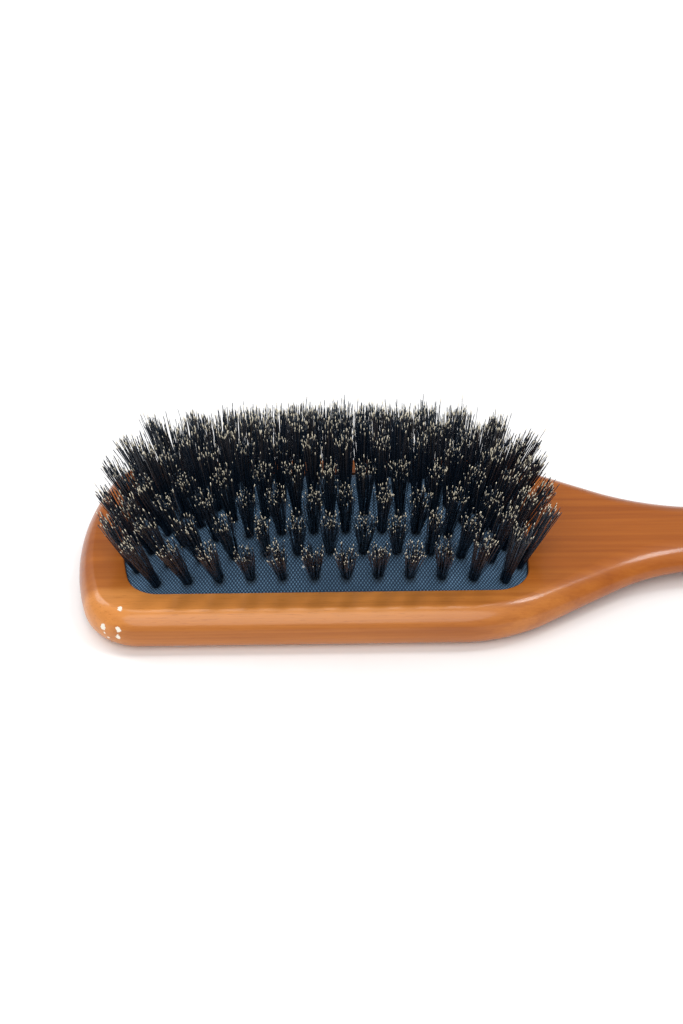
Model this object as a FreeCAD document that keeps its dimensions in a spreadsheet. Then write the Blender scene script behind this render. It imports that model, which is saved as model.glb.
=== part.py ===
"""Paddle brush: one wooden paddle and handle, an air-filled rubber cushion faced with woven cloth,
and nine rows of boar bristle tufts held behind the rubber by short wire anchors.
The brush lies on its back: +Z up, the handle towards +X, the origin under the middle of its length."""

import FreeCAD
import Part
import math
import os
import Sketcher

Vector = FreeCAD.Vector

# Driving dimensions in millimetres, angles' tangents and plain ratios where the name says so.
DIMENSIONS = {
    "brush_length": 245.0,
    "paddle_width": 74.0,
    "wood_thickness": 11.6,
    "toe_bow_radius": 82.0,
    "toe_corner_radius": 16.0,
    "side_end_from_toe": 101.0,
    "shoulder_radius": 46.0,
    "neck_from_toe": 172.0,
    "neck_width": 24.0,
    "neck_radius": 57.5,
    "handle_end_radius": 14.5,
    "top_edge_radius": 4.2,
    "back_edge_radius": 4.6,
    "neck_relief": 2.4,
    "relief_start_from_toe": 101.0,
    "relief_rise_length": 60.0,
    "relief_flat_length": 24.0,
    "relief_fall_length": 44.0,
    "opening_toe_margin": 12.4,
    "opening_length": 107.7,
    "opening_width": 53.0,
    "opening_toe_corner_radius": 9.0,
    "opening_heel_corner_radius": 9.0,
    "opening_heel_bow_radius": 180.0,
    "pocket_depth": 8.0,
    "lip_thickness": 1.5,
    "groove_height": 1.8,
    "groove_reach": 2.0,
    "fit_clearance": 0.1,
    "rubber_thickness": 1.4,
    "cloth_thickness": 0.4,
    "flange_inner_reach": 0.8,
    "cushion_crown": 10.0,
    "crown_from_toe": 72.5,
    "crown_power_along": 2.6,
    "crown_power_across": 2.1,
    "tuft_pitch": 8.15,
    "row_pitch": 5.6,
    "tuft_grid_from_toe": 67.8,
    "tufts_in_short_row": 12,
    "tuft_rows": 9,
    "tuft_length": 17.8,
    "tuft_root_radius": 1.2,
    "tuft_tip_radius": 2.6,
    "tuft_hole_clearance": 0.1,
    "tuft_root_length": 3.1,
    "anchor_radius": 0.3,
    "anchor_length": 3.4,
    "anchor_depth": 2.45,
    "toe_spread": 3.4,
    "toe_spread_power": 1.5,
    "heel_spread": 13.4,
    "heel_spread_end": 0.93,
    "toe_splay": 0.44,
    "toe_splay_power": 2.4,
    "heel_splay": 0.62,
    "heel_splay_power": 4.0,
    "heel_splay_fade": 0.6,
    "side_splay": 0.73,
    "side_splay_power": 0.6,
    "side_splay_fade": 1.3,
    "toe_fade_power": 4.0,
    "heel_fade_power": 3.0,
}
ZONES = ("edge", "outer", "inner", "centre")

doc = FreeCAD.newDocument("paddle_brush")
sheet = doc.addObject("Spreadsheet::Sheet", "dims")
for line, (alias, value) in enumerate(DIMENSIONS.items(), start=1):
    sheet.set(f"A{line}", alias)
    sheet.set(f"B{line}", str(value))
    sheet.setAlias(f"B{line}", alias)
doc.recompute()


def dim(alias):
    """A driving dimension as it stands in the sheet."""
    return float(sheet.get(alias))


toe_x = -dim("brush_length") / 2
top_z = dim("wood_thickness")
rim_z = top_z - dim("lip_thickness")
opening_start = toe_x + dim("opening_toe_margin")
opening_end = opening_start + dim("opening_length")
crown_x = toe_x + dim("crown_from_toe")


def arc(centre, radius, entry_angle, exit_angle):
    """An arc walked from entry_angle to exit_angle, in radians, the short way."""
    circle = Part.Circle(Vector(*centre, 0), Vector(0, 0, 1), radius)
    forwards = exit_angle > entry_angle
    low, high = sorted((entry_angle, exit_angle))
    return Part.ArcOfCircle(circle, low, high), (1, 2) if forwards else (2, 1)


def line(start, end):
    return Part.LineSegment(Vector(*start, 0), Vector(*end, 0)), (1, 2)


def walk(sketch, chain):
    """Adds the pieces in order, tangent where they meet, and closes them along the centre line."""
    first = sketch.GeometryCount
    for piece, _ in chain:
        sketch.addGeometry(piece, False)
    for k in range(len(chain) - 1):
        leave, enter = chain[k][1][1], chain[k + 1][1][0]
        sketch.addConstraint(Sketcher.Constraint("Tangent", first + k, leave, first + k + 1, enter))
    last = first + len(chain) - 1
    head = point_of(chain[0][0], chain[0][1][0])
    tail = point_of(chain[-1][0], chain[-1][1][1])
    base = sketch.addGeometry(Part.LineSegment(tail, head), False)
    sketch.addConstraint(Sketcher.Constraint("Coincident", base, 1, last, chain[-1][1][1]))
    sketch.addConstraint(Sketcher.Constraint("Coincident", base, 2, first, chain[0][1][0]))
    sketch.addConstraint(Sketcher.Constraint("PointOnObject", base, 1, -1))
    sketch.addConstraint(Sketcher.Constraint("PointOnObject", base, 2, -1))


def point_of(piece, position):
    return piece.StartPoint if position == 1 else piece.EndPoint


def bind(sketch, kind, where, value, formula):
    """Adds one sized constraint and ties it to the sheet."""
    number = sketch.addConstraint(Sketcher.Constraint(kind, *where, value))
    sketch.setExpression(f"Constraints[{number}]", formula)


def plane_of(body, role):
    return next(f for f in body.Origin.OriginFeatures if f.Role == role)


def new_sketch(body, name, role, height="0"):
    sketch = body.newObject("Sketcher::SketchObject", name)
    sketch.AttachmentSupport = (plane_of(body, role), [""])
    sketch.MapMode = "FlatFace"
    sketch.setExpression("AttachmentOffset.Base.z", height)
    return sketch


def plan_sketch(body):
    """Half of the plan: bowed toe, corner, side, shoulder, neck and handle end."""
    bow, corner = dim("toe_bow_radius"), dim("toe_corner_radius")
    shoulder, neck = dim("shoulder_radius"), dim("neck_radius")
    cap, half = dim("handle_end_radius"), dim("paddle_width") / 2
    bow_x = toe_x + bow
    corner_y = half - corner
    corner_x = bow_x - math.sqrt((bow - corner) ** 2 - corner_y ** 2)
    corner_angle = math.atan2(corner_y, corner_x - bow_x)
    side_x = toe_x + dim("side_end_from_toe")
    neck_x, neck_y = toe_x + dim("neck_from_toe"), dim("neck_width") / 2 + neck
    across, along = neck_y - half + shoulder, neck_x - side_x
    slope = math.atan2(along, across) - math.acos((shoulder + neck) / math.hypot(across, along))
    cap_x = -toe_x - cap
    reach = cap_x - neck_x
    flare = math.atan2(reach, neck_y) - math.acos((cap + neck) / math.hypot(reach, neck_y))
    leave = (side_x + shoulder * math.sin(slope), half - shoulder * (1 - math.cos(slope)))
    enter = (neck_x - neck * math.sin(slope), neck_y - neck * math.cos(slope))
    flare_start = (neck_x + neck * math.sin(flare), neck_y - neck * math.cos(flare))
    flare_end = (cap_x - cap * math.sin(flare), cap * math.cos(flare))
    quarter = math.pi / 2
    sketch = new_sketch(body, "plan", "XY_Plane")
    walk(sketch, [
        arc((bow_x, 0), bow, math.pi, corner_angle),
        arc((corner_x, corner_y), corner, corner_angle, quarter),
        line((corner_x, half), (side_x, half)),
        arc((side_x, half - shoulder), shoulder, quarter, quarter - slope),
        line(leave, enter),
        arc((neck_x, neck_y), neck, -quarter - slope, -quarter + flare),
        line(flare_start, flare_end),
        arc((cap_x, 0), cap, quarter + flare, 0),
    ])
    sketch.addConstraint(Sketcher.Constraint("PointOnObject", 0, 3, -1))
    sketch.addConstraint(Sketcher.Constraint("PointOnObject", 7, 3, -1))
    sketch.addConstraint(Sketcher.Constraint("Horizontal", 2))
    for element, alias in ((0, "toe_bow_radius"), (1, "toe_corner_radius"), (3, "shoulder_radius"),
                           (5, "neck_radius"), (7, "handle_end_radius")):
        bind(sketch, "Radius", (element,), dim(alias), f"dims.{alias}")
    bind(sketch, "DistanceX", (0, 2, -1, 1), -toe_x, "dims.brush_length / 2")
    bind(sketch, "DistanceX", (-1, 1, 7, 1), -toe_x, "dims.brush_length / 2")
    bind(sketch, "DistanceY", (-1, 1, 2, 1), half, "dims.paddle_width / 2")
    bind(sketch, "DistanceX", (0, 2, 2, 2), side_x - toe_x, "dims.side_end_from_toe")
    bind(sketch, "DistanceX", (0, 2, 5, 3), neck_x - toe_x, "dims.neck_from_toe")
    bind(sketch, "DistanceY", (-1, 1, 5, 3), neck_y, "dims.neck_width / 2 + dims.neck_radius")
    return sketch


def opening_chain(grow):
    """Half of the cushion opening, grown outwards all round by grow."""
    half = dim("opening_width") / 2 + grow
    toe_bow = dim("toe_bow_radius") - dim("opening_toe_margin") + grow
    toe_corner = dim("opening_toe_corner_radius") + grow
    heel_bow = dim("opening_heel_bow_radius") + grow
    heel_corner = dim("opening_heel_corner_radius") + grow
    toe_bow_x, heel_bow_x = opening_start - grow + toe_bow, opening_end + grow - heel_bow
    toe_y, heel_y = half - toe_corner, half - heel_corner
    toe_corner_x = toe_bow_x - math.sqrt((toe_bow - toe_corner) ** 2 - toe_y ** 2)
    heel_corner_x = heel_bow_x + math.sqrt((heel_bow - heel_corner) ** 2 - heel_y ** 2)
    toe_angle = math.atan2(toe_y, toe_corner_x - toe_bow_x)
    heel_angle = math.atan2(heel_y, heel_corner_x - heel_bow_x)
    quarter = math.pi / 2
    return [
        arc((toe_bow_x, 0), toe_bow, math.pi, toe_angle),
        arc((toe_corner_x, toe_y), toe_corner, toe_angle, quarter),
        line((toe_corner_x, half), (heel_corner_x, half)),
        arc((heel_corner_x, heel_y), heel_corner, quarter, heel_angle),
        arc((heel_bow_x, 0), heel_bow, heel_angle, 0),
    ]


def opening_sketch(body, name, height, grow_alias=None):
    """The opening as a sketch, grown by the sheet's grow_alias, at the height its formula gives."""
    grow = dim(grow_alias) if grow_alias else 0.0
    extra = f" + dims.{grow_alias}" if grow_alias else ""
    sketch = new_sketch(body, name, "XY_Plane", height)
    walk(sketch, opening_chain(grow))
    sketch.addConstraint(Sketcher.Constraint("PointOnObject", 0, 3, -1))
    sketch.addConstraint(Sketcher.Constraint("PointOnObject", 4, 3, -1))
    sketch.addConstraint(Sketcher.Constraint("Horizontal", 2))
    toe_bow = dim("toe_bow_radius") - dim("opening_toe_margin") + grow
    bind(sketch, "Radius", (0,), toe_bow, "dims.toe_bow_radius - dims.opening_toe_margin" + extra)
    for element, alias in ((1, "opening_toe_corner_radius"), (3, "opening_heel_corner_radius"),
                           (4, "opening_heel_bow_radius")):
        bind(sketch, "Radius", (element,), dim(alias) + grow, f"dims.{alias}" + extra)
    half = dim("opening_width") / 2 + grow
    bind(sketch, "DistanceY", (-1, 1, 2, 1), half, "dims.opening_width / 2" + extra)
    toe_reach = "dims.brush_length / 2 - dims.opening_toe_margin"
    bind(sketch, "DistanceX", (0, 2, -1, 1), grow - opening_start, toe_reach + extra)
    bind(sketch, "DistanceX", (4, 1, -1, 1), -opening_end - grow,
         f"{toe_reach} - dims.opening_length" + extra.replace("+", "-"))
    return sketch


def relief_sketch(body):
    """The hollow along the handle's back: two gentle S curves with a flat between them."""
    rise, fall = dim("relief_rise_length"), dim("relief_fall_length")
    depth = dim("neck_relief")
    start = toe_x + dim("relief_start_from_toe")
    flat_start = start + rise
    flat_end = flat_start + dim("relief_flat_length")
    end = flat_end + fall
    sketch = new_sketch(body, "back_relief", "XZ_Plane")
    below = -2.0

    def bend(x_from, z_from, x_to, z_to):
        """Two equal arcs that leave and arrive level."""
        run, lift = x_to - x_from, z_to - z_from
        radius = (run ** 2 + lift ** 2) / (4 * abs(lift))
        middle = Vector((x_from + x_to) / 2, (z_from + z_to) / 2, 0)
        sign = math.copysign(1, lift)
        turn = math.asin(run / 2 / radius)
        halves = ((x_from, z_from + sign * radius, 1), (x_to, z_to - sign * radius, -1))
        for centre_x, centre_z, side in halves:
            quarter_turn = side * turn / 2
            point = Vector(centre_x + radius * math.sin(quarter_turn),
                           centre_z - side * sign * radius * math.cos(quarter_turn), 0)
            ends = (Vector(x_from, z_from, 0), middle) if side == 1 else (middle, Vector(x_to, z_to, 0))
            yield Part.Arc(ends[0], point, ends[1])

    corners = [Vector(end, 0, 0), Vector(end, below, 0), Vector(start, below, 0), Vector(start, 0, 0)]
    pieces = list(bend(start, 0, flat_start, depth))
    pieces.append(Part.LineSegment(Vector(flat_start, depth, 0), Vector(flat_end, depth, 0)))
    pieces.extend(bend(flat_end, depth, end, 0))
    pieces.extend(Part.LineSegment(a, b) for a, b in zip(corners, corners[1:]))
    for piece in pieces:
        number = sketch.addGeometry(piece, False)
        sketch.addConstraint(Sketcher.Constraint("Block", number))
    return sketch


def outer_edges(shape, z_low, z_high):
    """Names of the outline's edges between two heights: not on the centre plane, not round the opening."""
    names = []
    for number, edge in enumerate(shape.Edges, start=1):
        box = edge.BoundBox
        middle = edge.valueAt((edge.FirstParameter + edge.LastParameter) / 2)
        level = z_low - 1e-3 <= box.ZMin and box.ZMax <= z_high + 1e-3
        beyond = opening_distance(middle.x, middle.y) > 3.0
        if level and beyond and box.YMax > 1e-3 and box.XLength > 1e-3:
            names.append(f"Edge{number}")
    return names


def opening_distance(x, y):
    """How far a point lies outside the box round the opening; negative inside."""
    middle = (opening_start + opening_end) / 2
    return max(abs(x - middle) - dim("opening_length") / 2, abs(y) - dim("opening_width") / 2)


def pocket(body, sketch, formula):
    before = body.Tip.Shape.Volume
    feature = body.newObject("PartDesign::Pocket", sketch.Name + "_cut")
    feature.Profile = sketch
    feature.setExpression("Length", formula)
    doc.recompute()
    assert feature.Shape.Volume < before - 1.0, f"{feature.Name} cuts nothing"
    return feature


def make_wood():
    """The paddle and handle are one plank: half is shaped, then joined to its mirror image."""
    body = doc.addObject("PartDesign::Body", "wood_half")
    plan = plan_sketch(body)
    pad = body.newObject("PartDesign::Pad", "plank")
    pad.Profile = plan
    pad.setExpression("Length", "dims.wood_thickness")
    doc.recompute()
    pocket(body, opening_sketch(body, "opening", "dims.wood_thickness"), "dims.pocket_depth")
    groove_height = "dims.wood_thickness - dims.lip_thickness"
    pocket(body, opening_sketch(body, "groove", groove_height, "groove_reach"), "dims.groove_height")
    relief = body.newObject("PartDesign::Pocket", "back_relief_cut")
    relief.Profile = relief_sketch(body)
    relief.Type = 1
    relief.Midplane = True
    doc.recompute()
    fillets = (("top_round", "top_edge_radius", top_z, top_z),
               ("back_round", "back_edge_radius", 0.0, dim("neck_relief")))
    for name, alias, low, high in fillets:
        base = body.Tip
        fillet = body.newObject("PartDesign::Fillet", name)
        fillet.Base = (base, outer_edges(base.Shape, low, high))
        fillet.setExpression("Radius", f"dims.{alias}")
        doc.recompute()
    mirror = doc.addObject("Part::Mirroring", "wood_other_half")
    mirror.Source = body
    mirror.Normal = Vector(0, 1, 0)
    whole = doc.addObject("Part::Fuse", "wood_whole")
    whole.Base = body
    whole.Tool = mirror
    whole.Refine = True
    whole.Label = "wood_body"
    return whole


def crown_share(x, y):
    """1 at the crown of the cushion and 0 at its rim."""
    reach = crown_x - opening_start if x < crown_x else opening_end - crown_x
    along = abs(x - crown_x) / reach
    across = abs(y) / (dim("opening_width") / 2)
    return (1 - along ** dim("crown_power_along")) * (1 - across ** dim("crown_power_across"))


def crown_height(x, y):
    """The cloth's outer surface: from the rim under the lip up to the crown."""
    return rim_z + (dim("cushion_crown") + dim("lip_thickness")) * crown_share(x, y)


def below_crown(drop):
    """Everything under the crowned surface lowered by drop, over a little more than the opening."""
    columns, rows, margin = 61, 31, 0.6
    x_low, x_high = opening_start - margin, opening_end + margin
    y_high = dim("opening_width") / 2 + margin
    points = []
    for i in range(columns):
        x = x_low + (x_high - x_low) * i / (columns - 1)
        y_values = [-y_high + 2 * y_high * j / (rows - 1) for j in range(rows)]
        points.append([Vector(x, y, crown_height(x, y) - drop) for y in y_values])
    surface = Part.BSplineSurface()
    surface.interpolate(points)
    return surface.toShape().extrude(Vector(0, 0, -40))


def opening_prism(grow, z_low, z_high):
    """A straight prism over the opening grown by grow."""
    upper = [piece.toShape() for piece, _ in opening_chain(grow)]
    lower = [edge.mirror(Vector(0, 0, 0), Vector(0, 1, 0)) for edge in upper]
    wire = Part.Wire(Part.__sortEdges__(upper + lower))
    face = Part.Face(wire)
    face.translate(Vector(0, 0, z_low))
    return face.extrude(Vector(0, 0, z_high - z_low))


def add_feature(name, shape):
    feature = doc.addObject("Part::Feature", name)
    feature.Shape = shape
    feature.Placement = FreeCAD.Placement()
    feature.Label = name
    return feature


def make_cushion(holes):
    """The rubber pad with its flange in the groove, and the cloth bonded over its crown."""
    gap = dim("fit_clearance")
    cloth, rubber = dim("cloth_thickness"), dim("rubber_thickness")
    high = top_z + 20
    flange_low = rim_z - dim("groove_height") + gap
    inside = opening_prism(-gap, rim_z - 1.0, high)
    crown = inside.common(below_crown(0))
    under_cloth = below_crown(cloth)
    facing = crown.cut(under_cloth)
    flange_top = rim_z - cloth
    flange = opening_prism(dim("groove_reach") - 2 * gap, flange_low, flange_top)
    pad = opening_prism(-gap, flange_low, high).common(under_cloth).fuse(flange)
    hollow = opening_prism(-dim("flange_inner_reach"), flange_low - 1, high)
    pad = pad.cut(hollow.common(below_crown(cloth + rubber))).removeSplitter()
    return add_feature("cushion_pad", pad.cut(holes)), add_feature("cushion_facing", facing.cut(holes))


def make_tuft_master():
    """One tuft about its own axis: a tight root, and a fan of bristles that widens to the tips."""
    body = doc.addObject("PartDesign::Body", "tuft_master")
    sketch = new_sketch(body, "tuft_profile", "XZ_Plane")
    root, tip = dim("tuft_root_radius"), dim("tuft_tip_radius")
    low, high = -dim("tuft_root_length"), dim("tuft_length")
    corners = [(0, low), (root, low), (root, 0), (tip, high), (0, high)]
    count = len(corners)
    for k in range(count):
        sketch.addGeometry(line(corners[k], corners[(k + 1) % count])[0], False)
    for k in range(count):
        sketch.addConstraint(Sketcher.Constraint("Coincident", k, 2, (k + 1) % count, 1))
    sketch.addConstraint(Sketcher.Constraint("Horizontal", 0))
    sketch.addConstraint(Sketcher.Constraint("Vertical", 1))
    sketch.addConstraint(Sketcher.Constraint("Horizontal", 3))
    sketch.addConstraint(Sketcher.Constraint("PointOnObject", 4, 1, -2))
    sketch.addConstraint(Sketcher.Constraint("PointOnObject", 4, 2, -2))
    sketch.addConstraint(Sketcher.Constraint("PointOnObject", 1, 2, -1))
    bind(sketch, "DistanceX", (-1, 1, 1, 2), root, "dims.tuft_root_radius")
    bind(sketch, "DistanceX", (-1, 1, 2, 2), tip, "dims.tuft_tip_radius")
    bind(sketch, "DistanceY", (-1, 1, 2, 2), high, "dims.tuft_length")
    bind(sketch, "DistanceY", (0, 1, -1, 1), -low, "dims.tuft_root_length")
    turn = body.newObject("PartDesign::Revolution", "tuft_turn")
    turn.Profile = sketch
    turn.ReferenceAxis = (sketch, ["V_Axis"])
    turn.Angle = 360
    return body


def make_anchor_master():
    """One wire anchor, lying across the tuft's root."""
    wire = doc.addObject("Part::Cylinder", "anchor_master")
    wire.setExpression("Radius", "dims.anchor_radius")
    wire.setExpression("Height", "dims.anchor_length")
    wire.setExpression("Placement.Base.x", "-dims.anchor_length / 2")
    wire.setExpression("Placement.Base.z", "-dims.anchor_depth")
    wire.Placement.Rotation = FreeCAD.Rotation(Vector(0, 1, 0), 90)
    return wire


def share_along(x):
    """How far x lies from the crown towards the toe or the heel of the opening: 0 to 1."""
    reach = crown_x - opening_start if x < crown_x else opening_end - crown_x
    return abs(x - crown_x) / reach


def spread(x, y):
    """Moves a tuft of the regular grid towards its end of the cushion, the middle rows most."""
    outer_y = (dim("tuft_rows") - 1) / 2 * dim("row_pitch")
    inner = 1 - (y / outer_y) ** 2
    along = share_along(x)
    if x < crown_x:
        return x - dim("toe_spread") * along ** dim("toe_spread_power") * inner
    return x + dim("heel_spread") * along * max(0.0, dim("heel_spread_end") - along) * inner


def splay(x, y):
    """How far a tuft at (x, y) leans outwards: its run along X and Y for a rise of 1."""
    across = abs(y) / (dim("opening_width") / 2)
    along = share_along(x)
    end, sign = ("toe", -1) if x < crown_x else ("heel", 1)
    run_x = sign * dim(f"{end}_splay") * along ** dim(f"{end}_splay_power")
    if x >= crown_x:
        run_x *= 1 - dim("heel_splay_fade") * across ** 2
    fade = max(0.0, 1 - dim("side_splay_fade") * along ** dim(f"{end}_fade_power"))
    run_y = math.copysign(dim("side_splay") * across ** dim("side_splay_power") * fade, y)
    return run_x, run_y


def tuft_placement(x, y):
    """Stands a tuft on the cloth at (x, y), leaning outwards, its anchor across the lean."""
    run_x, run_y = splay(x, y)
    axis = Vector(run_x, run_y, 1).normalize()
    across = Vector(run_y, -run_x, 0) if math.hypot(run_x, run_y) > 0.05 else Vector(1, 0, 0)
    across.normalize()
    third = axis.cross(across)
    turn = FreeCAD.Rotation(across, third, axis, "XYZ")
    return FreeCAD.Placement(Vector(x, y, crown_height(x, y)), turn)


def tuft_places():
    """Yields (row, zone, placement): short and long rows take turns, half a pitch apart."""
    rows, short = int(dim("tuft_rows")), int(dim("tufts_in_short_row"))
    grid_x = toe_x + dim("tuft_grid_from_toe")
    for row in range(rows):
        count = short + row % 2
        y = (row - (rows - 1) / 2) * dim("row_pitch")
        for column in range(count):
            x = spread(grid_x + (column - (count - 1) / 2) * dim("tuft_pitch"), y)
            ring = min(row, rows - 1 - row, column, count - 1 - column, len(ZONES) - 1)
            yield row + 1, ZONES[ring], tuft_placement(x, y)


def placed(shape, placement):
    copy = shape.copy()
    copy.Placement = placement.multiply(copy.Placement)
    return copy


def make_tufts_and_anchors():
    """Groups tufts by row and by cushion zone; returns the nodes and the holes they need."""
    tuft_master, anchor_master = make_tuft_master(), make_anchor_master()
    doc.recompute()
    gap = dim("tuft_hole_clearance")
    slot_start = Vector(-4, 0, -dim("anchor_depth"))
    slot = Part.makeCylinder(dim("anchor_radius") + gap, 8, slot_start, Vector(1, 0, 0))
    tuft_shape = tuft_master.Shape.cut(slot)
    hole_shape = Part.makeCylinder(dim("tuft_root_radius") + gap, 8, Vector(0, 0, -4))
    groups, holes = {}, []
    for row, zone, placement in tuft_places():
        tufts, anchors = groups.setdefault((row, zone), ([], []))
        tufts.append(placed(tuft_shape, placement))
        anchors.append(placed(anchor_master.Shape, placement))
        holes.append(placed(hole_shape, placement))
    nodes = []
    for (row, zone), (tufts, anchors) in groups.items():
        nodes.append(add_feature(f"tufts_row{row}_{zone}", Part.makeCompound(tufts)))
        nodes.append(add_feature(f"anchors_row{row}_{zone}", Part.makeCompound(anchors)))
    return nodes, Part.makeCompound(holes)


def check_document():
    for obj in doc.Objects:
        bad = {"Invalid", "Error"} & set(obj.State)
        assert not bad, f"{obj.Label}: {sorted(bad)}"


def main():
    wood = make_wood()
    nodes, holes = make_tufts_and_anchors()
    nodes = [wood, *make_cushion(holes), *nodes]
    doc.recompute()
    check_document()
    os.makedirs("parts", exist_ok=True)
    for node in nodes:
        shape = node.Shape
        assert not shape.isNull() and shape.isValid(), f"{node.Label} is not a valid shape"
        shape.exportStep(f"parts/{node.Label}.step")
        print(f"{node.Label}: {len(shape.Solids)} solids, {shape.Volume:.1f} mm3")


main()
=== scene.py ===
import bmesh
import bpy
import math
import numpy as np
from mathutils import Matrix, Vector


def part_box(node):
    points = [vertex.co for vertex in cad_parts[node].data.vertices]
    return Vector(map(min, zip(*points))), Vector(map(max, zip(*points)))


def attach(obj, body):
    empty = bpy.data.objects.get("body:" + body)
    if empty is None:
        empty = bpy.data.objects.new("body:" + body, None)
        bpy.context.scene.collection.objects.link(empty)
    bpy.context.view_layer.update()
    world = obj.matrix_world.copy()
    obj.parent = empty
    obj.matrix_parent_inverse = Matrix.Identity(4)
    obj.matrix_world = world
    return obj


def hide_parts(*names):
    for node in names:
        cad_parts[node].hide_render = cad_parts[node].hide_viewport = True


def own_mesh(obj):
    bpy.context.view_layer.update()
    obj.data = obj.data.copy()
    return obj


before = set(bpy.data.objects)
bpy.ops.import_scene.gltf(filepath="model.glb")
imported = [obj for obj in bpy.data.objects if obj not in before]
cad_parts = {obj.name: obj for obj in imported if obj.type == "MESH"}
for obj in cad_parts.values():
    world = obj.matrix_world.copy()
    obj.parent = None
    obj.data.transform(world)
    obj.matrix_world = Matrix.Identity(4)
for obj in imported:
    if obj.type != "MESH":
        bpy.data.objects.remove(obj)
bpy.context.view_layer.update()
print("frame loaded:", len(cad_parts), "nodes")

# Lengths are in metres and angles in degrees. The brush lies on its back, handle towards +X.
quarter = math.pi / 2
woodLow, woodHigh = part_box("wood_body")
toeX, handleEndX, halfWidth, topZ = woodLow.x, woodHigh.x, woodHigh.y, woodHigh.z
zones = ("edge", "outer", "inner", "centre")

plank = {
    "toeBow": 0.082, "toeCorner": 0.016,           # radii of the toe's bow and its two corners
    "sideEnd": toeX + 0.101, "shoulder": 0.046,    # where the straight side ends; the shoulder's radius
    "neckX": toeX + 0.172, "neckHalf": 0.012, "neck": 0.0575,
    "cap": 0.0145,                                 # radius of the handle's round end
    "topInset": 0.0043, "gripInset": 0.0075,       # width of the top round-over, on paddle and grip
    "backInset": 0.0058, "gripBackInset": 0.0075,  # the same at the back
    "upperShare": 0.53,                            # share of the edge's height above the widest line
    "crease": 19.0, "gripCrease": 9.0,             # how steeply the round-over starts at the flat top
    "creaseFlat": 0.00012,                         # a narrow flat beside the crease
    # the back's hollow along the neck: its depth, and the lengths of its rise, its flat and its fall
    "relief": 0.0024, "reliefRise": 0.060, "reliefFlat": 0.024, "reliefFall": 0.044,
    "rimRound": 0.0004, "spineStart": 0.034,
}
pocket = {
    "start": toeX + 0.0124, "length": 0.1077, "half": 0.0265,
    "toeBow": 0.0696, "toeCorner": 0.009, "heelCorner": 0.009, "heelBow": 0.180,
    "depth": 0.008, "lip": 0.0015, "grooveHeight": 0.0018, "grooveReach": 0.002,
}
pocketEnd = pocket["start"] + pocket["length"]
rimZ = topZ - pocket["lip"]


# Points and outward normals of an arc: centre + radius * (cos, sin); side is -1 where the arc is hollow.
def arcRun(centre, radius, start, end, count, side=1):
    angle = np.linspace(start, end, count)
    ray = np.stack([np.cos(angle), np.sin(angle)], 1)
    return np.array(centre) + radius * ray, side * ray


# Points and left-hand normals of a straight run: start * (1 - share) + end * share.
def straightRun(start, end, count):
    share = np.linspace(0, 1, count)[:, None]
    run = np.subtract(end, start)
    normal = np.array([-run[1], run[0]]) / math.hypot(*run)
    return np.array(start) * (1 - share) + np.array(end) * share, np.tile(normal, (count, 1))


# Runs that meet end to end as one line of points, each shared point kept once.
def joinRuns(runs):
    points = [runs[0][0]] + [run[0][1:] for run in runs[1:]]
    normals = [runs[0][1]] + [run[1][1:] for run in runs[1:]]
    return np.concatenate(points), np.concatenate(normals)


# Half of the plank's outline, from the toe's middle to the handle's end, every arc tangent to the next:
# bow, corner, side, shoulder, slope, hollow neck, flaring grip, round end.
def plankOutline():
    p = plank
    cornerY = halfWidth - p["toeCorner"]
    bowX = toeX + p["toeBow"]
    cornerX = bowX - math.sqrt((p["toeBow"] - p["toeCorner"]) ** 2 - cornerY ** 2)
    cornerAngle = math.atan2(cornerY, cornerX - bowX)
    neckY = p["neckHalf"] + p["neck"]
    shoulderY = halfWidth - p["shoulder"]
    across, along = neckY - shoulderY, p["neckX"] - p["sideEnd"]
    slope = math.atan2(along, across) - math.acos((p["shoulder"] + p["neck"]) / math.hypot(across, along))
    capX = handleEndX - p["cap"]
    reach = capX - p["neckX"]
    flare = math.atan2(reach, neckY) - math.acos((p["cap"] + p["neck"]) / math.hypot(reach, neckY))
    slopeRay = np.array([math.sin(slope), math.cos(slope)])
    flareRay = np.array([math.sin(flare), -math.cos(flare)])
    slopeStart = np.array([p["sideEnd"], shoulderY]) + p["shoulder"] * slopeRay
    slopeEnd = np.array([p["neckX"], neckY]) - p["neck"] * slopeRay
    flareStart = np.array([p["neckX"], neckY]) + p["neck"] * flareRay
    flareEnd = np.array([capX, 0]) - p["cap"] * flareRay
    return joinRuns([
        arcRun((bowX, 0), p["toeBow"], math.pi, cornerAngle, 26),
        arcRun((cornerX, cornerY), p["toeCorner"], cornerAngle, quarter, 28),
        straightRun((cornerX, halfWidth), (p["sideEnd"], halfWidth), 66),
        arcRun((p["sideEnd"], shoulderY), p["shoulder"], quarter, quarter - slope, 26),
        straightRun(slopeStart, slopeEnd, 14),
        arcRun((p["neckX"], neckY), p["neck"], -quarter - slope, -quarter + flare, 34, side=-1),
        straightRun(flareStart, flareEnd, 44),
        arcRun((capX, 0), p["cap"], quarter + flare, 0, 40),
    ])


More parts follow.
